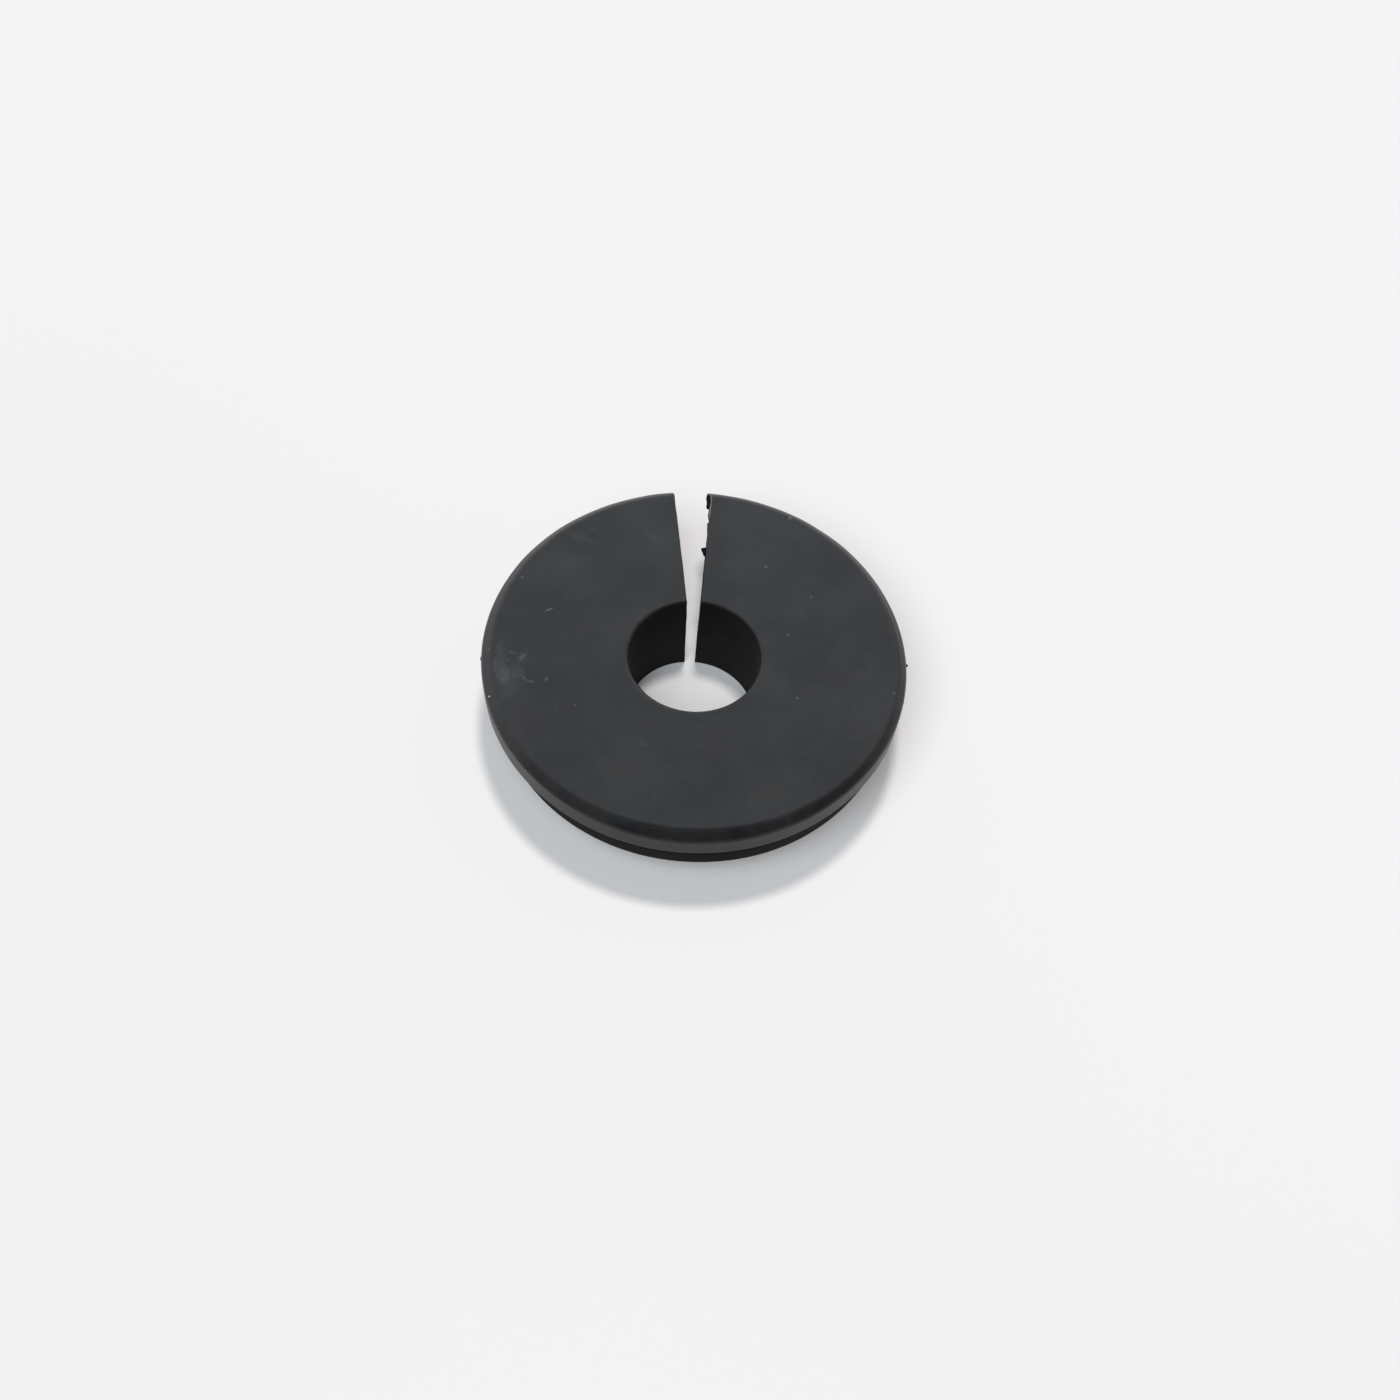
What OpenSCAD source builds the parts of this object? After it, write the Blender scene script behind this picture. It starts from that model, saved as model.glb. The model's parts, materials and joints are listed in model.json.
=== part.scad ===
// Split rubber sealing plug: one moulding with a wide flange, a groove that the
// panel sits in, a lip with a tapered lead-in, and a straight bore for a pipe or
// cable. One cut from the rim to the bore lets it be opened round the pipe. The
// rubber has sprung a little, so the cut stands open like a narrow wedge.
// It rests on its small end, and its origin is on the bore axis at that face.

/* [Flange] */
// Diameter of the flange
flange_d = 52; // [50:0.5:70]
// Thickness of the flange
flange_h = 3.4; // [2:0.1:6]
// Width and height of the soft bevel round the flange's top edge
flange_bevel = 1.1; // [0.6:0.1:1.1]
// Radius of both corners of that bevel
flange_bevel_r = 1; // [0.2:0.1:1]
// Radius of the flange's lower edge
flange_low_r = 0.3; // [0.1:0.1:0.4]

/* [Panel groove] */
// Diameter at the bottom of the groove, which is the hole it fits
groove_d = 44; // [34:0.5:47]
// Width of the groove, which is the panel it fits
groove_w = 3; // [1:0.1:6]
// Radius in the corners at the bottom of the groove
groove_r = 0.4; // [0.1:0.1:0.45]

/* [Lip and lead-in] */
// Diameter of the lip
lip_d = 49; // [45.5:0.5:51]
// Height of the lip's straight land
lip_h = 1.5; // [1:0.1:4]
// Radius of the lip's upper edge
lip_r = 0.3; // [0.1:0.1:0.4]
// Height of the tapered lead-in below the lip
leadin_h = 4.7; // [2:0.1:12]
// Diameter of the small end that it rests on
base_d = 41; // [30:0.5:44]

/* [Bore] */
// Diameter of the bore
bore_d = 16; // [5:0.5:26]
// Radius of the bore's upper edge
bore_top_r = 0.3; // [0.1:0.1:1]

/* [Cut] */
// Width of the cut where its faces would meet the bore axis
cut_kerf = 0.35; // [0.1:0.05:1.5]
// Angle that the cut has sprung open by, seen from above
cut_spread = 10; // [2:0.5:20]
// Lean of each face of the cut, which closes it towards the small end
cut_lean = 1; // [0:0.1:1.5]

/* [Torn rubber on the cut] */
// Distance of the long tag's middle from the flange's rim
tag_from_rim = 2.2; // [1.6:0.1:4]
// Length of the long tag along the cut
tag_l = 2.2; // [1:0.1:3]
// Distance of the short nub's middle from the flange's rim
nub_from_rim = 10.2; // [6:0.1:12]
// Length of the short nub along the cut
nub_l = 1.3; // [0.6:0.1:2]
// How far the torn pieces stand off the face of the cut
torn_out = 0.5; // [0.2:0.05:0.8]
// Depth of the torn pieces' upper ends below the top face
torn_top = 0.1; // [0.05:0.05:0.3]
// Height of the torn pieces
torn_h = 0.9; // [0.4:0.1:1.6]

/* [Hidden] */
$fn = 96;

// Overshoot of the cutting shapes past the faces that they cut
over = 1;
// Depth by which the torn pieces are rooted in the rubber
root = 0.3;

flange_rad = flange_d / 2;
groove_rad = groove_d / 2;
lip_rad = lip_d / 2;
base_rad = base_d / 2;
bore_rad = bore_d / 2;

// Heights of the steps above the face it rests on
lip_z = leadin_h;
groove_z = lip_z + lip_h;
flange_z = groove_z + groove_w;
top_z = flange_z + flange_h;
cut_reach = flange_rad + over;

// Half section from the axis outwards. The lower corner is rounded, and the upper
// one has the soft bevel
module flange_section() {
    difference() {
        union() {
            translate([0, flange_z])
                square([flange_rad - flange_low_r, flange_h]);
            translate([0, flange_z + flange_low_r])
                square([flange_rad, flange_h - flange_low_r]);
            translate([flange_rad - flange_low_r, flange_z + flange_low_r])
                circle(r = flange_low_r);
        }
        beyond_bevel();
    }
}

// What the bevel takes off the flange's upper corner. An arc that touches the
// bevel and the face beside it rounds each of the two corners
module beyond_bevel() {
    reach = flange_bevel_r * tan(45 / 2);
    slope = flange_bevel_r * sin(45);
    top_arc = [flange_rad - flange_bevel - reach, top_z - flange_bevel_r];
    side_arc = [flange_rad - flange_bevel_r, top_z - flange_bevel - reach];
    difference() {
        polygon([
            [top_arc.x, top_z + over],
            [top_arc.x, top_z],
            top_arc + [slope, slope],
            side_arc + [slope, slope],
            [flange_rad, side_arc.y],
            [flange_rad + over, side_arc.y],
            [flange_rad + over, top_z + over]
        ]);
        for (centre = [top_arc, side_arc])
            translate(centre)
                circle(r = flange_bevel_r);
    }
}

// The lip with its lead-in, a cone that carries on from the land to the small end
module lip_section() {
    polygon([
        [0, 0],
        [base_rad, 0],
        [lip_rad, lip_z],
        [lip_rad, groove_z - lip_r],
        [lip_rad - lip_r, groove_z],
        [0, groove_z]
    ]);
    translate([lip_rad - lip_r, groove_z - lip_r])
        circle(r = lip_r);
}

// The bottom of the groove meets the flange and the lip in small radii
module groove_section() {
    translate([groove_rad + groove_r, groove_z])
        square([flange_rad, groove_w]);
    translate([groove_rad, groove_z + groove_r])
        square([flange_rad, groove_w - 2 * groove_r]);
    for (z = [groove_z + groove_r, flange_z - groove_r])
        translate([groove_rad + groove_r, z])
            circle(r = groove_r);
}

// Rounds the upper edge of the bore
module bore_edge_section() {
    difference() {
        translate([0, top_z - bore_top_r])
            square([bore_rad + bore_top_r, bore_top_r + over]);
        translate([bore_rad + bore_top_r, top_z - bore_top_r])
            circle(r = bore_top_r);
    }
}

module moulding() {
    difference() {
        rotate_extrude() {
            difference() {
                union() {
                    flange_section();
                    lip_section();
                    translate([0, groove_z])
                        square([groove_rad + groove_r, groove_w]);
                }
                groove_section();
            }
        }
        translate([0, 0, -over])
            cylinder(h = top_z + 2 * over, r = bore_rad);
        rotate_extrude()
            bore_edge_section();
    }
}

// Places things on the right face of the cut: X is off the face into the gap,
// Y runs outwards along it, and Z is the height above the top face
module on_cut_face() {
    translate([cut_kerf / 2, 0, top_z])
        rotate([0, 0, -cut_spread / 2])
            rotate([0, cut_lean, 0])
                mirror([1, 0, 0])
                    children();
}

// Everything on the gap's side of the right face
module gap_side() {
    on_cut_face()
        translate([0, 0, -top_z - 2 * over])
            cube([cut_reach, cut_reach, top_z + 4 * over]);
}

// The gap between the two faces, from the bore axis to beyond the rim
module cut() {
    intersection() {
        gap_side();
        mirror([1, 0, 0])
            gap_side();
    }
}

// One torn piece standing off the face: its outline seen from above has a
// ragged end, and its middle is at_y from the bore axis
module torn_piece(at_y, length) {
    on_cut_face()
        translate([0, at_y - length / 2, -torn_top - torn_h])
            linear_extrude(torn_h)
                polygon([
                    [-root, 0],
                    [torn_out * 0.7, length * 0.1],
                    [torn_out * 0.6, length * 0.3],
                    [torn_out, length * 0.45],
                    [torn_out * 0.8, length * 0.9],
                    [-root, length]
                ]);
}

module plug() {
    color([0.09, 0.09, 0.095])
        union() {
            difference() {
                moulding();
                cut();
            }
            torn_piece(flange_rad - tag_from_rim, tag_l);
            torn_piece(flange_rad - nub_from_rim, nub_l);
        }
}

plug();
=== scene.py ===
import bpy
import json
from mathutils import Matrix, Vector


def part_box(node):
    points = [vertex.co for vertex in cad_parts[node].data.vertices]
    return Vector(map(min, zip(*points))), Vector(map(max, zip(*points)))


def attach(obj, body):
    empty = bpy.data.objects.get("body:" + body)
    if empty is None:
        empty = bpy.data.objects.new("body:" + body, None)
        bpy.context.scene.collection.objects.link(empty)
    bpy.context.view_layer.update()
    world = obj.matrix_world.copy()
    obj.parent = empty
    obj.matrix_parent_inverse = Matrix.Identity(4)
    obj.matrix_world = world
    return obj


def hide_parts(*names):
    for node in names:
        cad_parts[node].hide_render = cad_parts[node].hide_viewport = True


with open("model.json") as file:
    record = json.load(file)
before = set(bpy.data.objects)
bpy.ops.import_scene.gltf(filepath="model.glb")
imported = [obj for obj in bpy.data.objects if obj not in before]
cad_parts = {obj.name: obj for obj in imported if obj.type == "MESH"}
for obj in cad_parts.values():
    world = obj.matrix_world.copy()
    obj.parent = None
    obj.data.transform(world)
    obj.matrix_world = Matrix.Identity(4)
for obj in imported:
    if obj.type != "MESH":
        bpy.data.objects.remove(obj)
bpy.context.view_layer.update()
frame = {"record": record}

import json
import math

import bpy
import numpy as np
from mathutils import Matrix, Vector, geometry, noise

# The split sealing plug is one rubber moulding, cut once from the rim to the bore.
# This script builds that moulding as one closed mesh: the half section is turned
# round the bore from one face of the cut to the other, with the small unevenness
# of real rubber, and both faces of the cut get their own finely meshed surface.
# Lengths here are in millimetres unless a name says otherwise.

MM = 0.001


def mount_named(name):
    """The frame's record of one mount."""
    return next(m for m in frame["record"]["mounts"] if m["name"] == name)


# Sizes that the frame gives
_, plug_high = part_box("plug")
flange_rad = (plug_high / MM).x
bore_rad = mount_named("bore")["dims"]["r_mm"]

# Heights of the moulding's steps, from the face it rests on
lip_z = 4.3
groove_z = 6.2
flange_z = 8.6
top_z = 12.6

# Radii of the other rings
base_rad = 20.5
lip_rad = 24.3
groove_rad = 22.0

# The soft bevel round the flange's top edge: its width, the smaller width on either side
# of the front, its angle, how much the width wavers, and how long those waves are
flange_bevel = 1.04
flange_bevel_aside = 0.76
bevel_angle = 45
bevel_waver = 0.06
bevel_wave = 3.1

# The bevel narrows with the distance from the middle line and towards the front. Both
# ranges are shares of the radius.
aside_range = (0, 0.9)
front_range = (-0.2, 0.6)

# How much the flange's side leans in towards its lower edge, and the roundings
flange_draft = 0.2
flange_bevel_r = 0.9
flange_low_r = 0.3
lip_r = 0.3
groove_r = 0.4
base_r = 0.15

# Narrow strips of mesh beside the roundings of the bore and of the top face keep those
# surfaces flat. The lead-in starts a hair's breadth outside the foot.
flat_strip = 0.25
leadin_start = 0.02

# The bore narrows a touch towards its lower end, and away from the cut the lip sits a
# touch to the right of the flange, as where the two halves of a mould don't quite meet.
# That shift is in full in front of shift_full_y, and there is none behind shift_none_y
# or nearer to the bore's axis than shift_from_rad.
bore_taper = 0.2
lip_shift = 0.25
shift_full_y = -5
shift_none_y = 12
shift_from_rad = bore_rad + 3
shift_full_rad = base_rad - 2

# The bore's upper edge is softer on one side, where a pipe has rubbed it
bore_edge_r = 0.32
bore_worn_r = 0.7
bore_worn_at = math.radians(262)
bore_worn_spread = math.radians(55)

# The cut: its faces lean and spread as in the frame, and its edges are hardly rounded.
# The relief of its faces draws the skin behind them along, as far as relief_reach.
cut_half_spread = math.radians(5)
cut_lean = math.radians(1)
cut_offset_right = 0.17
cut_offset_left = 0.16
cut_edge_r = 0.09
relief_reach = 0.9

# Marks that the knife left on both faces: fine drag lines, which slant and waver, and
# broad waves
drag_high = 0.012
drag_per_mm = 9.0
drag_slant = 0.12
drag_waver = 2.5
wave_high = 0.045

# Torn rubber on the right face, a long tag and a short nub: distance from the bore's
# axis at its start and end, how far it stands out, the share of that at its start, the
# share of torn_deep that it reaches down, and the width of its soft ends
torn_bits = [
    (23.1, 25.75, 0.54, 0.88, 0.8, 0.07),
    (15.6, 16.6, 0.64, 0.15, 0.85, 0.06),
]
torn_top = 0.1
torn_deep = 1.0
torn_soft = 0.1
torn_ends = [(0.35, 0.5, 5.5)]

# The ragged upper edge of the right face: the distances at which it starts and is in
# full, how far it stands out, and the depths between which it fades. Waves here are
# lists of height, length and seed.
ragged_range = (15.5, 18.0)
ragged_out = 0.11
ragged_chips = [(0.13, 0.9, 7.3), (0.08, 0.42, 2.1)]
ragged_fade = (0.1, 0.8)

# A thin strip with a notch in it, between the two torn bits: start, end and width of
# the soft ends, and how far it stands out
strip = (19.4, 22.4, 0.5)
notch = (20.5, 20.9, 0.15)
strip_out = 0.07

# The cleaner upper edge of the left face, and its outer corner, which is worn round
clean_chips = [(0.03, 1.4, 9.1)]
clean_fade = (0.1, 0.5)
worn_corner_range = (25.35, 26.1)
worn_corner_deep = 0.35

# Flash nubs left by the mould: angle from the cut in degrees, width and height. They
# are steep, and stand on the rim alone.
flash_z = 11.1
flash_nubs = [
    (89.6, 0.26, 0.38),
    (101.5, 0.2, 0.14),
    (269.95, 0.3, 0.2),
]
flash_steep = 2.2
rim_from = flange_rad - 0.9
rim_full = flange_rad - 0.1

# Waves of the moulded skin, which fade near the foot
skin_waves = [(0.035, 11.0, 0.4), (0.008, 2.2, 3.3)]
skin_fade = (0.2, 1.5)


def smooth(low, high, value):
    """0 below low and 1 above high, with a smooth step between them."""
    share = min(1.0, max(0.0, (value - low) / (high - low)))
    return share * share * (3 - 2 * share)


def ripple(x, y, z, size, seed=0.0):
    """Smooth noise from -1 to 1 whose waves are about as long as size."""
    return noise.noise(Vector((x / size + seed, y / size, z / size)))


def waves(x, y, z, table):
    """The sum of some ripples, each given as its height, length and seed."""
    return sum(high * ripple(x, y, z, length, seed) for high, length, seed in table)


def line(start, end, steps):
    """Points from start towards end, without the end itself."""
    (r0, z0), (r1, z1) = start, end
    return [(r0 + (r1 - r0) * i / steps, z0 + (z1 - z0) * i / steps) for i in range(steps)]


def arc(centre, radius, start, end, steps):
    """Points on a quarter or part of a circle in the section, without its end."""
    turns = [math.radians(start + (end - start) * i / steps) for i in range(steps)]
    return [(centre[0] + radius * math.cos(a), centre[1] + radius * math.sin(a)) for a in turns]


def bevel_width(turn):
    """The width of the flange's bevel at an angle from the cut."""
    x = math.sin(turn)
    y = math.cos(turn)
    aside = smooth(*aside_range, abs(x)) * smooth(*front_range, -y)
    width = flange_bevel + (flange_bevel_aside - flange_bevel) * aside
    wave = ripple(flange_rad * x, flange_rad * y, 0, bevel_wave, seed=4.0)
    return width * (1 + bevel_waver * wave)


def half_section(turn):
    """The moulding's half section at an angle from the cut, as one closed loop of (r, z)."""
    worn = math.exp(-(((turn - bore_worn_at) / bore_worn_spread) ** 2))
    bore_r = bore_edge_r + (bore_worn_r - bore_edge_r) * worn
    bevel = bevel_width(turn)
    reach = flange_bevel_r * math.tan(math.radians(bevel_angle / 2))
    top_arc = (flange_rad - bevel - reach, top_z - flange_bevel_r)
    side_arc = (flange_rad - flange_bevel_r, top_z - bevel - reach)
    cone = math.degrees(math.atan2(lip_rad - base_rad, lip_z))
    groove_low = (groove_rad + groove_r, groove_z + groove_r)
    groove_high = (groove_rad + groove_r, flange_z - groove_r)
    loop = []
    bore_low = bore_rad - bore_taper
    wall_high = top_z - bore_r - flat_strip
    loop += line((bore_rad, top_z - bore_r), (bore_rad, wall_high), 1)
    loop += line((bore_rad, wall_high), (bore_low, base_r + flat_strip), 10)
    loop += line((bore_low, base_r + flat_strip), (bore_low, base_r), 1)
    loop += arc((bore_low + base_r, base_r), base_r, 180, 270, 3)
    loop += line((bore_low + base_r, 0), (base_rad - base_r, 0), 8)
    loop += arc((base_rad - base_r, base_r), base_r, 270, 360 - cone, 3)
    loop += line((base_rad + leadin_start, base_r), (lip_rad, lip_z), 8)
    loop += line((lip_rad, lip_z), (lip_rad, groove_z - lip_r), 4)
    loop += arc((lip_rad - lip_r, groove_z - lip_r), lip_r, 0, 90, 5)
    loop += line((lip_rad - lip_r, groove_z), (groove_low[0], groove_z), 3)
    loop += arc(groove_low, groove_r, 270, 180, 5)
    loop += line((groove_rad, groove_low[1]), (groove_rad, groove_high[1]), 4)
    loop += arc(groove_high, groove_r, 180, 90, 5)
    low_arc = (flange_rad - flange_draft - flange_low_r, flange_z + flange_low_r)
    loop += line((groove_high[0], flange_z), (low_arc[0], flange_z), 5)
    loop += arc(low_arc, flange_low_r, -90, 0, 6)
    loop += line((flange_rad - flange_draft, low_arc[1]), (flange_rad, side_arc[1]), 8)
    loop += arc(side_arc, flange_bevel_r, 0, bevel_angle, 8)
    slope = flange_bevel_r * math.sin(math.radians(bevel_angle))
    bevel_low = (side_arc[0] + slope, side_arc[1] + slope)
    bevel_high = (top_arc[0] + slope, top_arc[1] + slope)
    loop += line(bevel_low, bevel_high, 3)
    loop += arc(top_arc, flange_bevel_r, bevel_angle, 90, 8)
    face_from = top_arc[0] - flat_strip
    face_to = bore_rad + bore_r + flat_strip
    loop += line((top_arc[0], top_z), (face_from, top_z), 1)
    loop += line((face_from, top_z), (face_to, top_z), 26)
    loop += line((face_to, top_z), (bore_rad + bore_r, top_z), 1)
    loop += arc((bore_rad + bore_r, top_z - bore_r), bore_r, 90, 180, 8)
    return np.array(loop)


def outward(loop):
    """Unit normals of a closed section loop, pointing out of the rubber."""
    along = np.roll(loop, -1, axis=0) - np.roll(loop, 1, axis=0)
    along /= np.linalg.norm(along, axis=1)[:, None]
    return np.stack([along[:, 1], -along[:, 0]], axis=1)


def face_angle(radius, height, inside, offset):
    """Angle from +Y at which a ring meets the plane that lies inside behind a cut face."""
    gap = math.cos(cut_half_spread) * offset + math.tan(cut_lean) * (height - top_z)
    return cut_half_spread + math.asin((gap + inside) / radius)


def knife_marks(out, height, seed):
    """Relief of a face cut with a knife: long shallow waves and fine drag lines."""
    waver = drag_waver * ripple(out, height, 0, 6, seed)
    drag = drag_high * math.sin(drag_per_mm * (height + drag_slant * out) + waver)
    wave = wave_high * ripple(out * 0.5, height * 1.6, 0, 3.5, seed)
    return drag + wave


def window(value, low, high, soft):
    """1 between low and high, falling to 0 within soft outside them."""
    return smooth(low - soft, low, value) * (1 - smooth(high, high + soft, value))


def ragged_edge(out):
    """How far the torn upper edge of the right face stands into the gap."""
    share = smooth(*ragged_range, out)
    in_strip = window(out, *strip) * (1 - window(out, *notch))
    return share * (ragged_out + waves(out, 0, 0, ragged_chips)) + strip_out * in_strip


def relief_right(out, height):
    """Relief of the right face into the gap: marks, ragged edge, torn tag and nub."""
    below = top_z - height
    relief = ragged_edge(out) * (1 - smooth(*ragged_fade, below))
    relief += knife_marks(out, height, seed=1.7)
    ends = waves(out, height, 0, torn_ends)
    for start, end, stands, start_share, deep_share, soft in torn_bits:
        deep = window(below, torn_top + torn_soft, torn_deep * (deep_share + ends), torn_soft)
        slope = start_share + (1 - start_share) * (out - start) / (end - start)
        relief += stands * slope * deep * window(out, start, end, soft)
    return relief


def relief_left(out, height):
    """Relief of the left face into the gap: marks, a cleaner edge and a worn corner."""
    below = top_z - height
    edge = waves(out, 0, 0, clean_chips) * (1 - smooth(*clean_fade, below))
    worn = worn_corner_deep * smooth(*worn_corner_range, out) ** 2
    return edge + knife_marks(out, height, seed=4.9) - worn


def flash(turn, height):
    """Height of the nubs of flash that the mould left on the flange's rim."""
    total = 0.0
    for angle, width, stands in flash_nubs:
        beside = flange_rad * (turn - math.radians(angle)) / width
        above = (height - flash_z) / width
        total += stands * math.exp(-(beside**2 + above**2) * flash_steep)
    return total


def unevenness(place):
    """How far the moulded skin stands proud of its true form."""
    return smooth(*skin_fade, place[2]) * waves(*place, skin_waves)


# Columns of the mesh: planes close behind each cut face, then turns round the bore,
# with more of them across each flash nub. At far_behind the cut touches nothing.
near_face = [0, 0.02, 0.045, 0.09, 0.18, 0.32, 0.55, 1.0]
far_behind = 9
step_degrees = 0.95
flash_reach = 2.4
flash_columns = 17


def turn_shares():
    """Shares of the way round from the right face to the left, closer at the flash nubs."""
    start = math.degrees(math.asin(near_face[-1] / flange_rad) + cut_half_spread)
    turns = list(np.linspace(start, 360 - start, int((360 - 2 * start) / step_degrees)))
    for angle, width, _ in flash_nubs:
        reach = math.degrees(flash_reach * width / flange_rad)
        turns = [t for t in turns if abs(t - angle) > reach]
        turns += list(np.linspace(angle - reach, angle + reach, flash_columns))
    return [(t - start) / (360 - 2 * start) for t in sorted(turns)][1:-1]


def corner_inset(behind):
    """How far the rounding at a cut face's edge draws the skin in, at a depth behind it."""
    if behind >= cut_edge_r:
        return 0.0
    return cut_edge_r - math.sqrt(cut_edge_r**2 - (cut_edge_r - behind) ** 2)


def skin_point(rz, normal, turn, behind, side):
    """One point of the moulded skin. Side is 1 near the right face, -1 near the left."""
    inset = corner_inset(behind)
    radius = rz[0] - normal[0] * inset
    height = rz[1] - normal[1] * inset
    rim = smooth(rim_from, rim_full, radius)
    place = (radius * math.sin(turn), radius * math.cos(turn), height)
    lift = unevenness(place) + rim * flash(turn, height)
    radius += normal[0] * lift
    height += normal[1] * lift
    x = radius * math.sin(turn)
    y = radius * math.cos(turn)
    if side:
        fade = 1 - smooth(0, relief_reach, behind)
        relief = relief_right if side > 0 else relief_left
        out = relief(y, height) * fade
        x -= side * out * math.cos(cut_half_spread)
        y += out * math.sin(cut_half_spread)
    return (x, y, height)


def skin_column(loop, turns, behind, side):
    """One column of the moulded skin: the loop's points, each at its own turn."""
    return [skin_point(rz, n, t, behind, side) for rz, n, t in zip(loop, outward(loop), turns)]


def skin_columns():
    """The moulded skin as columns of points, from the right face round to the left."""
    full_turn = 2 * math.pi
    start_loop = half_section(cut_half_spread)
    end_loop = half_section(full_turn - cut_half_spread)
    right = []
    left = []
    for behind in near_face:
        right.append([face_angle(r, z, behind, cut_offset_right) for r, z in start_loop])
        left.append([full_turn - face_angle(r, z, behind, cut_offset_left) for r, z in end_loop])
    columns = [skin_column(start_loop, t, behind, 1) for behind, t in zip(near_face, right)]
    for share in turn_shares():
        turns = [a + (b - a) * share for a, b in zip(right[-1], left[-1])]
        columns.append(skin_column(half_section(full_turn * share), turns, far_behind, 0))
    for behind, turns in reversed(list(zip(near_face, left))):
        columns.append(skin_column(end_loop, turns, behind, -1))
    return columns


# Spacing of the grid on a cut face: fine near its upper edge and coarse below, and how
# far it keeps from the face's outline
fine_grid = 0.11
coarse_grid = 0.36
fine_deep = 1.5
grid_margin = 0.07


def inside_points(outline):
    """Grid points inside the outline of a cut face, as pairs of distance and height."""
    fine_low = top_z - fine_deep
    coarse_top = fine_low - coarse_grid / 2
    bands = [(fine_low, top_z, fine_grid), (coarse_grid, coarse_top, coarse_grid)]
    spots = []
    for low, high, spacing in bands:
        for z in np.arange(low, high, spacing):
            spots += [(y, z) for y in np.arange(bore_rad, flange_rad, spacing)]
    spots = np.array(spots)
    a = outline
    b = np.roll(outline, -1, axis=0)
    ab = b - a
    ap = spots[:, None, :] - a[None]
    along = np.clip((ap * ab).sum(2) / (ab * ab).sum(1), 0, 1)
    away = np.linalg.norm(ap - along[..., None] * ab, axis=2).min(axis=1)
    crosses = (a[:, 1] > spots[:, 1:]) != (b[:, 1] > spots[:, 1:])
    with np.errstate(divide="ignore", invalid="ignore"):
        meets = a[:, 0] + ab[:, 0] * (spots[:, 1:] - a[:, 1]) / ab[:, 1]
    inside = (crosses & (spots[:, :1] < meets)).sum(axis=1) % 2 == 1
    return spots[inside & (away > grid_margin)]


def cut_face(column, start, side, relief, offset):
    """Meshes one face of the cut. Returns its new points, its triangles and the number of
    points that it shares with the skin."""
    outline = np.array([(y, z) for _, y, z in column])
    spots = inside_points(outline)
    flat = [Vector(p) for p in np.vstack([outline, spots])]
    count = len(outline)
    inside_only = 1
    closest = 1e-6
    made = geometry.delaunay_2d_cdt(flat, [], [list(range(count))], inside_only, closest)
    made_faces, origins = made[2], made[3]
    points = []
    for y, z in spots:
        gap = offset + y * math.tan(cut_half_spread)
        gap += math.tan(cut_lean) * (z - top_z) / math.cos(cut_half_spread)
        points.append((side * (gap - relief(y, z)), y, z))
    numbers = list(range(count)) + [start + i for i in range(len(spots))]
    triangles = []
    for triangle in made_faces:
        corners = [origins[i][0] for i in triangle]
        if side > 0:
            corners.reverse()
        triangles.append([numbers[c] for c in corners])
    return points, triangles, count


def mould_shift(x, y, z):
    """How far the lower half of the mould sat to the right, at one point."""
    below = 1 - smooth(groove_z, flange_z, z)
    far_from_cut = 1 - smooth(shift_full_y, shift_none_y, y)
    outer = smooth(shift_from_rad, shift_full_rad, math.hypot(x, y))
    return lip_shift * below * far_from_cut * outer


def build_moulding():
    """The whole plug as one closed mesh. Faces of the cut use the second material."""
    columns = skin_columns()
    rows = len(columns[0])
    points = [p for column in columns for p in column]
    faces = []
    for c in range(len(columns) - 1):
        for r in range(rows):
            here, up = c * rows + r, c * rows + (r + 1) % rows
            faces.append((here, here + rows, up + rows, up))
    skin_faces = len(faces)
    ends = [
        (columns[0], 0, 1, relief_right, cut_offset_right),
        (columns[-1], (len(columns) - 1) * rows, -1, relief_left, cut_offset_left),
    ]
    for column, first, side, relief, offset in ends:
        start = len(points)
        added, triangles, count = cut_face(column, start, side, relief, offset)
        points += added
        for triangle in triangles:
            faces.append([first + n if n < count else n for n in triangle])
    points = [(x + mould_shift(x, y, z), y, z) for x, y, z in points]
    mesh = bpy.data.meshes.new("moulded_plug")
    mesh.from_pydata([Vector(p) * MM for p in points], [], faces)
    mesh.validate()
    mesh.polygons.foreach_set("use_smooth", [True] * len(mesh.polygons))
    cut = [0] * skin_faces + [1] * (len(mesh.polygons) - skin_faces)
    mesh.polygons.foreach_set("material_index", cut)
    mesh.update()
    return mesh


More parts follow.
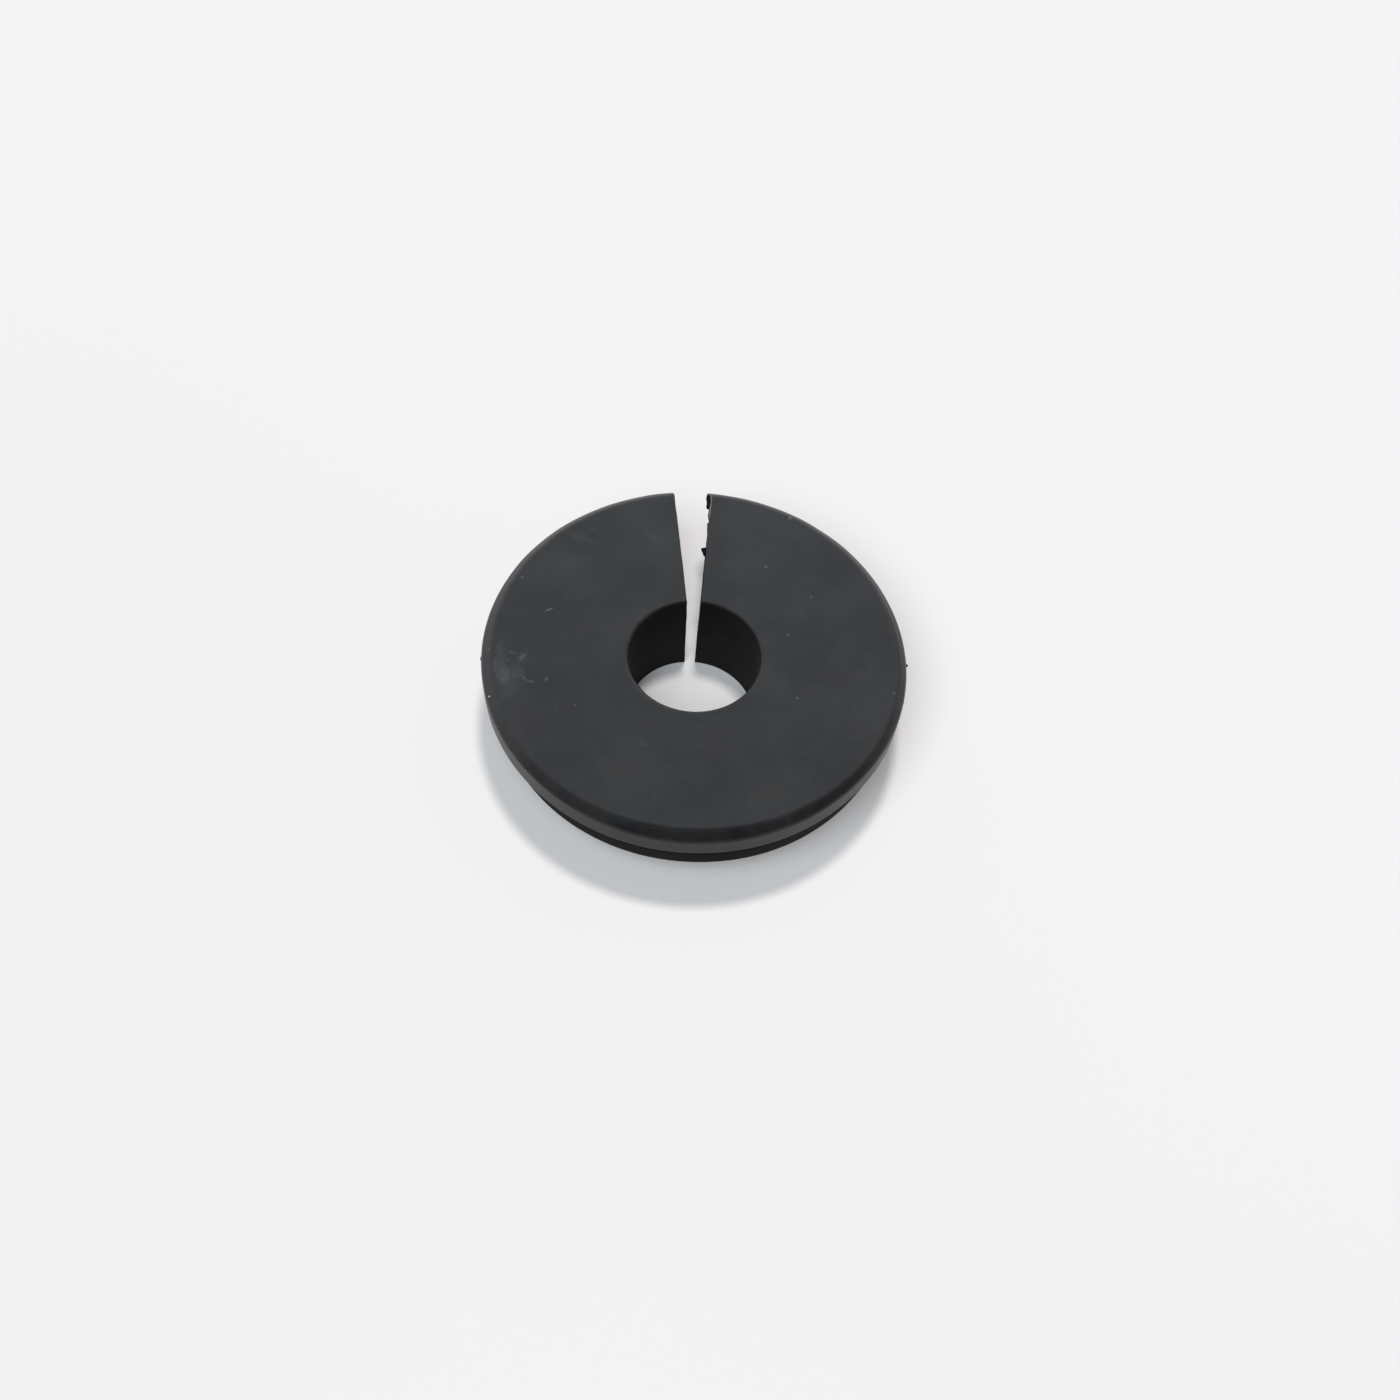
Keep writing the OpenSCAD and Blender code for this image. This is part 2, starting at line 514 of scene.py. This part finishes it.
class Link:
    """A socket of a shader tree. Sums and products of links add Math nodes."""

    def __init__(self, tree, socket=None):
        self.tree = tree
        self.socket = socket

    def node(self, kind, settings=None, inputs=None, output=0):
        """Adds a node: its settings first, then its inputs by name or number. Returns the
        link from one of its outputs."""
        made = self.tree.nodes.new(kind)
        for name, value in (settings or {}).items():
            setattr(made, name, value)
        for name, value in (inputs or {}).items():
            if isinstance(value, Link):
                self.tree.links.new(value.socket, made.inputs[name])
            else:
                made.inputs[name].default_value = value
        return Link(self.tree, made.outputs[output] if made.outputs else None)

    def math(self, operation, *values):
        """Adds a Math node that takes this link first."""
        inputs = dict(enumerate((self,) + values))
        return self.node("ShaderNodeMath", {"operation": operation}, inputs)

    def __add__(self, other):
        return self.math("ADD", other)

    def __sub__(self, other):
        return self.math("SUBTRACT", other)

    def __rsub__(self, other):
        return self.math("MULTIPLY_ADD", -1.0, other)

    def __mul__(self, other):
        return self.math("MULTIPLY", other)

    __radd__ = __add__
    __rmul__ = __mul__

    def towards(self, side):
        """How far this vector reaches towards a side, which is a direction of length 1."""
        inputs = {0: self, 1: side}
        return self.node("ShaderNodeVectorMath", {"operation": "DOT_PRODUCT"}, inputs, "Value")

    def ramp(self, low, high, kind="LINEAR"):
        """0 below low and 1 above high. It goes straight between them, unless kind differs."""
        inputs = {"Value": self, "From Min": low, "From Max": high}
        return self.node("ShaderNodeMapRange", {"interpolation_type": kind}, inputs)

    def step(self, low, high):
        """0 below low and 1 above high, with a smooth step between them."""
        return self.ramp(low, high, "SMOOTHSTEP")

    def mix(self, below, above):
        """A colour that goes from below to above as this link goes from 0 to 1."""
        inputs = {0: self, 6: below, 7: above}
        return self.node("ShaderNodeMix", {"data_type": "RGBA"}, inputs, 2)


def new_tree(name):
    """A material and the start of its node tree."""
    material = bpy.data.materials.new(name)
    material.use_nodes = True
    material.node_tree.nodes.clear()
    return material, Link(material.node_tree)


def grey(level, blue=1.0):
    """A grey, whose blue may be stronger."""
    return (level, level, level * blue, 1.0)


def in_millimetres(tree):
    """The piece's own coordinates, in millimetres."""
    own = tree.node("ShaderNodeTexCoord", output="Object")
    return tree.node("ShaderNodeVectorMath", {"operation": "SCALE"}, {0: own, 3: 1 / MM})


def from_axis(where):
    """Distance from the bore's axis."""
    flat = where.node("ShaderNodeVectorMath", {"operation": "MULTIPLY"}, {0: where, 1: (1, 1, 0)})
    return where.node("ShaderNodeVectorMath", {"operation": "LENGTH"}, {0: flat}, "Value")


def mottle(where, size, detail=2.0, rough=0.5, offset=0.0):
    """Noise from 0 to 1 whose patches are about as wide as size."""
    inputs = {"Vector": where, "W": offset, "Scale": 1 / size, "Detail": detail, "Roughness": rough}
    return where.node("ShaderNodeTexNoise", {"noise_dimensions": "4D"}, inputs)


# How far a mark reaches below the top face and above it
mark_deep = 1.5


def mark(where, x, y, length, width, degrees):
    """A soft oval mark on the top face: 1 at its middle and 0 at its edge."""
    inputs = {
        "Vector": where,
        "Location": (x, y, top_z),
        "Rotation": (0, 0, math.radians(degrees)),
        "Scale": (length / 2, width / 2, mark_deep),
    }
    inside = where.node("ShaderNodeMapping", {"vector_type": "TEXTURE"}, inputs)
    return inside.node("ShaderNodeTexGradient", {"gradient_type": "SPHERICAL"}, {0: inside}, 1)


# Scuffs on the top face: x, y, length, width, direction in degrees, strength
scuffs = [
    (-21.0, -0.65, 1.6, 0.55, 52, 0.42),
    (-20.7, -3.7, 1.3, 0.52, -60, 0.4),
    (-19.9, -4.2, 1.4, 0.45, -14, 0.38),
    (-18.0, -3.82, 0.9, 0.5, 80, 0.5),
    (-17.85, 6.53, 1.5, 0.32, 26, 0.9),
    (-22.25, 0.0, 1.4, 0.5, -20, 0.28),
]

# Round specks: x, y, width, strength
specks = [
    (-21.26, 11.38, 0.5, 0.6),
    (-24.84, -6.17, 0.33, 3.0),
    (-25.07, 0.48, 0.35, 0.6),
    (-14.5, -7.53, 0.6, 0.3),
    (12.17, 21.45, 0.6, 0.9),
    (8.98, 13.71, 0.6, 0.5),
    (11.46, 3.42, 0.5, 0.4),
    (12.31, -5.89, 0.5, 0.6),
    (14.46, 9.24, 0.5, 0.5),
    (24.13, -4.88, 0.5, 0.5),
    (-7.9, 2.2, 0.5, 0.6),
]

# Faint broad streaks, with the numbers of a scuff
streaks = [
    (-14.2, 17.7, 6.0, 1.5, -24, 0.16),
    (-5.1, 17.9, 4.2, 1.0, -36, 0.13),
    (-15.5, 13.5, 11.0, 4.0, 8, 0.08),
    (18.5, 1.5, 7.0, 4.0, 60, 0.06),
    (-21.0, -0.65, 3.0, 2.0, 52, 0.14),
    (-22.5, -5.2, 6.0, 2.6, 70, 0.16),
]

# The chalky smudge: two ragged patches, with the numbers of a scuff and then the level
# at which the patch is in full
chalk_patches = [
    (-23.45, -2.0, 2.6, 7.8, 4, 0.27, 0.5),
    (-22.5, -2.9, 4.2, 5.6, 0, 0.2, 0.6),
]

# A pale line painted along the right face's upper edge near the rim, behind the tag: a painted
# highlight where that edge catches the light
highlight_line = (2.2, 23.1, 5.4, 0.27, 84.6)
highlight_line_strength = 1.12

# The ranges in which a scuff or speck and the painted highlight line come in from their edge
scuff_edge = (0, 0.6)
highlight_line_edge = (0, 0.5)

# Colours of the rubber: dark and light, each in a cooler and a warmer hue, the pale colour of its
# marks and of the painted highlight line, and the brightest specks
dark_cool = (0.0035, 0.0037, 0.0046, 1)
dark_warm = (0.0045, 0.0040, 0.0040, 1)
light_cool = (0.0125, 0.0135, 0.0155, 1)
light_warm = (0.0150, 0.0145, 0.0140, 1)
pale_colour = (0.085, 0.088, 0.094, 1)
bright_level = 0.45

# The glossy skin starts at the bore's edge and at the flange's lower edge. The flange's
# side is a little duller at the front, and all of the skin is at grazing angles.
skin_range = (bore_rad + 0.02, bore_rad + 0.35)
skin_heights = (flange_z - 0.5, flange_z)
side_range = (flange_rad - 0.4, flange_rad - 0.1)
front_distances = (8, 24)
front_dulling = 0.25
grazing_range = (0.55, 0.95)
grazing_dulling = 0.35


def pale_marks_and_highlight(where):
    """How pale the rubber is, with the painted highlight line: 0 where it is clean, and over 1 at
    the brightest specks.
    """
    patchy = mottle(where, 1.5, detail=4.0, rough=0.65, offset=9.0)
    ragged = patchy * 1.1 - 0.55
    chalk = 0
    for x, y, length, width, degrees, strength, edge in chalk_patches:
        patch = mark(where, x, y, length, width, degrees) + ragged
        chalk = chalk + patch.step(0.1, edge) * strength
    pale = chalk * patchy.step(0.2, 0.7)
    for x, y, length, width, degrees, strength in scuffs:
        pale = pale + mark(where, x, y, length, width, degrees).step(*scuff_edge) * strength
    for x, y, width, strength in specks:
        pale = pale + mark(where, x, y, width, width, 0).step(*scuff_edge) * strength
    for x, y, length, width, degrees, strength in streaks:
        pale = pale + mark(where, x, y, length, width, degrees) * strength
    # Last comes the painted highlight along the right face's upper edge
    return pale + mark(where, *highlight_line).step(*highlight_line_edge) * highlight_line_strength


def moulded_rubber():
    """Matt black rubber: mottled skin, chalky smudge, scuffs, specks, fine grain and a painted
    highlight along the right face's upper edge.
    """
    material, tree = new_tree("moulded_rubber")
    where = in_millimetres(tree)
    cloud = mottle(where, 8.0, detail=4.0, rough=0.6).step(0.34, 0.66)
    small = mottle(where, 1.3, detail=3.0, rough=0.6, offset=4.0)
    hue = mottle(where, 6.0, offset=12.0).step(0.3, 0.7)
    # pale also carries the painted highlight line, which takes the same pale colour
    pale = pale_marks_and_highlight(where)
    base = cloud.mix(hue.mix(dark_cool, dark_warm), hue.mix(light_cool, light_warm))
    colour = pale.mix(base, pale_colour)
    colour = (pale - 1).step(0.0, 0.6).mix(colour, grey(bright_level))
    grain = mottle(where, 0.16, rough=0.6, offset=1.0) * 0.5 + mottle(where, 0.7, offset=2.0)
    bump = {"Strength": 0.35, "Distance": 0.03 * MM, "Height": grain}
    normal = tree.node("ShaderNodeBump", inputs=bump)
    skin = tree.node(
        "ShaderNodeBsdfPrincipled",
        inputs={
            "Base Color": colour,
            "Roughness": 0.3 + 0.05 * cloud + 0.05 * small,
            "Specular IOR Level": 0.33,
            "Normal": normal,
        },
    )
    # The bore's wall and all below the flange are dry and matt, and mirror next to nothing
    matt = tree.node(
        "ShaderNodeBsdfPrincipled",
        inputs={
            "Base Color": cloud.mix(grey(0.009, 1.05), grey(0.014, 1.03)),
            "Roughness": 0.9,
            "Specular IOR Level": 0.2,
            "Normal": normal,
        },
    )
    out = from_axis(where)
    glossy = out.step(*skin_range) * where.towards((0, 0, 1)).step(*skin_heights)
    front_side = out.step(*side_range) * where.towards((0, -1, 0)).step(*front_distances)
    glossy = glossy * (1 - front_side * front_dulling)
    facing = tree.node("ShaderNodeLayerWeight", inputs={"Blend": 0.5}, output="Facing")
    glossy = glossy * (1 - facing.step(*grazing_range) * grazing_dulling)
    shown = tree.node("ShaderNodeMixShader", inputs={0: glossy, 1: matt, 2: skin})
    tree.node("ShaderNodeOutputMaterial", inputs={"Surface": shown})
    return material


def cut_rubber():
    """Rubber laid open by the knife: darker and duller than the skin, with drag lines."""
    material, tree = new_tree("cut_rubber")
    where = in_millimetres(tree)
    flat = {"Vector": where, "Scale": (0.25, 0.25, 3.0)}
    lines = where.node("ShaderNodeMapping", inputs=flat)
    drag = mottle(lines, 1.0, detail=3.0, rough=0.6, offset=3.0)
    pits = mottle(where, 0.25, offset=6.0)
    colour = drag.step(0.3, 0.7).mix(grey(0.004), grey(0.008, 1.03))
    bump = {"Strength": 0.5, "Distance": 0.05 * MM, "Height": drag + pits * 0.4}
    face = tree.node(
        "ShaderNodeBsdfPrincipled",
        inputs={
            "Base Color": colour,
            "Roughness": 0.65 + 0.25 * drag,
            "Specular IOR Level": 0.1,
            "Normal": tree.node("ShaderNodeBump", inputs=bump),
        },
    )
    tree.node("ShaderNodeOutputMaterial", inputs={"Surface": face})
    return material


# For the camera, this share of the table shows its own colour, whatever the light. Inside the bore
# it darkens to a dim grey, painted shade on the bore's floor, and it is in full from glow_reach
# outside the bore.
table_glow = 0.217
bore_shade_glow = 0.2
glow_reach = 4
table_dark = (0.865, 0.865, 0.868, 1)
table_light = (0.885, 0.885, 0.888, 1)


def white_table():
    """A smooth matt white table, all but free of texture, with painted shade where it lies inside
    the bore.
    """
    material, tree = new_tree("white_table")
    where = in_millimetres(tree)
    colour = mottle(where, 220.0).step(0.3, 0.7).mix(table_dark, table_light)
    top = tree.node(
        "ShaderNodeBsdfPrincipled",
        inputs={"Base Color": colour, "Roughness": 0.75, "Specular IOR Level": 0.2},
    )
    # Inside the bore the camera sees a dim grey glow here in place of the table's colour: painted
    # shade
    outside = from_axis(where).step(bore_rad, bore_rad + glow_reach)
    glow_inputs = {"Color": outside.mix(grey(bore_shade_glow), colour), "Strength": 1.0}
    glow = tree.node("ShaderNodeEmission", inputs=glow_inputs)
    share = tree.node("ShaderNodeLightPath", output="Is Camera Ray") * table_glow
    shown = tree.node("ShaderNodeMixShader", inputs={0: share, 1: top, 2: glow})
    tree.node("ShaderNodeOutputMaterial", inputs={"Surface": shown})
    return material


def add_plug():
    """The one piece, which rides on the one body and replaces its CAD node."""
    plug = bpy.data.objects.new("moulded_plug", build_moulding())
    bpy.context.scene.collection.objects.link(plug)
    plug.data.materials.append(moulded_rubber())
    plug.data.materials.append(cut_rubber())
    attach(plug, "root")
    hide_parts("plug")


def add_table():
    """A square table top, six metres wide, at the height of the plug's foot."""
    half = 3.0
    mesh = bpy.data.meshes.new("table")
    corners = [(-half, -half, 0), (half, -half, 0), (half, half, 0), (-half, half, 0)]
    mesh.from_pydata(corners, [], [(0, 1, 2, 3)])
    table = bpy.data.objects.new("table", mesh)
    bpy.context.scene.collection.objects.link(table)
    mesh.materials.append(white_table())


# The camera looks down at the plug from the side away from the cut. Pixels are those
# of a square image 1400 pixels wide. They say where the middle of the flange's top is
# seen, and how large the flange's radius is there.
image_side = 1400
flange_middle_px = (694.86, 656.0)
flange_rad_px = 213.5
camera_up = math.radians(55.77)
camera_turn = math.radians(-4.716)
camera_roll = math.radians(5.0)
camera_away_in_radii = 15.0
sensor_mm = 36.0


def add_camera():
    """The camera has no shift. It stands a little aside, which puts the plug in its place
    in the image."""
    away = Vector((-math.sin(camera_turn), math.cos(camera_turn), 0))
    side = Vector((math.cos(camera_turn), math.sin(camera_turn), 0))
    back = -away * math.cos(camera_up) + Vector((0, 0, math.sin(camera_up)))
    up = away * math.sin(camera_up) + Vector((0, 0, math.cos(camera_up)))
    right = side * math.cos(camera_roll) + up * math.sin(camera_roll)
    upright = up * math.cos(camera_roll) - side * math.sin(camera_roll)
    focal_px = flange_rad_px * camera_away_in_radii
    distance = camera_away_in_radii * flange_rad
    middle_x = (flange_middle_px[0] - image_side / 2) / focal_px * distance
    middle_y = -(flange_middle_px[1] - image_side / 2) / focal_px * distance
    place = Vector((0, 0, top_z)) - right * middle_x - upright * middle_y + back * distance
    data = bpy.data.cameras.new("camera")
    data.sensor_width = sensor_mm
    data.lens = focal_px * sensor_mm / image_side
    data.clip_start = 0.01
    data.clip_end = 20
    camera = bpy.data.objects.new("camera", data)
    aim = Matrix((right, upright, back)).transposed().to_4x4()
    camera.matrix_world = Matrix.Translation(place * MM) @ aim
    bpy.context.scene.collection.objects.link(camera)
    bpy.context.scene.camera = camera


# The lamps: name, direction towards it as turn from +X and height in degrees, width
# in degrees, power and colour. The desk lamp hangs nearly overhead, a little behind
# the plug, and the daylight is a wide cool patch in front of it on the left.
lamps = [
    ("desk_lamp", 79.9, 79.45, 8.0, 1.586, (1.045, 0.99, 0.963)),
    ("daylight", 243.0, 58.0, 36.0, 1.67, (0.938, 1.0, 1.059)),
]
lamp_distance = 0.5


def add_lamps():
    """The lamps, which light the plug but aren't mirrored in it."""
    for name, turn, height, width, power, colour in lamps:
        data = bpy.data.lights.new(name, "SUN")
        data.energy = power
        data.angle = math.radians(width)
        data.color = colour
        lamp = bpy.data.objects.new(name, data)
        lamp.visible_glossy = False
        level = math.cos(math.radians(height))
        towards = Vector((0, 0, math.sin(math.radians(height))))
        towards.x = level * math.cos(math.radians(turn))
        towards.y = level * math.sin(math.radians(turn))
        lamp.rotation_mode = "QUATERNION"
        lamp.rotation_quaternion = towards.to_track_quat("Z", "Y")
        lamp.location = towards * lamp_distance
        bpy.context.scene.collection.objects.link(lamp)


# The room that the rubber mirrors: bright walls behind the plug and on its left, a
# window among them, a dim side in front on the right, and a dim ceiling. Each range
# says how far towards the side the brightness starts and is in full. An even warm
# fill lights the plug, and the camera sees a plain grey white.
room_dim = 0.13
room_walls = 1.1
walls_side = (-0.347, 0.938, 0)
walls_range = (-0.85, 0.55)
room_window = 0.58
window_side = (-0.2, 0.795, 0.573)
window_range = (0.55, 0.85)
ceiling_dimming = 0.6
ceiling_range = (0.75, 1.0)
room_fill = 0.095
fill_colour = (1.12, 1.0, 0.88, 1)
mirrored_colour = (0.95, 1.0, 1.06, 1)
room_seen = 0.86


def add_room():
    """The world: what is mirrored, what lights the plug and what the camera sees."""
    world = bpy.data.worlds.new("room")
    world.use_nodes = True
    world.node_tree.nodes.clear()
    tree = Link(world.node_tree)
    direction = tree.node("ShaderNodeTexCoord", output="Generated")
    walls = direction.towards(walls_side).ramp(*walls_range)
    window = direction.towards(window_side).step(*window_range)
    ceiling = direction.towards((0, 0, 1)).step(*ceiling_range)
    level = room_dim + walls * room_walls + window * room_window
    level = level * (1 - ceiling * ceiling_dimming)
    mirrored = tree.node("ShaderNodeLightPath", output="Is Glossy Ray")
    level = mirrored * (level - room_fill) + room_fill
    seen = tree.node("ShaderNodeLightPath", output="Is Camera Ray")
    level = seen * (room_seen - level) + level
    colour = seen.mix(mirrored.mix(fill_colour, mirrored_colour), grey(1.0))
    light = tree.node("ShaderNodeBackground", inputs={"Color": colour, "Strength": level})
    tree.node("ShaderNodeOutputWorld", inputs={"Surface": light})
    world.cycles.sampling_method = "NONE"
    bpy.context.scene.world = world


add_camera()
add_plug()
add_table()
add_lamps()
add_room()
bpy.context.scene.view_settings.view_transform = "Standard"
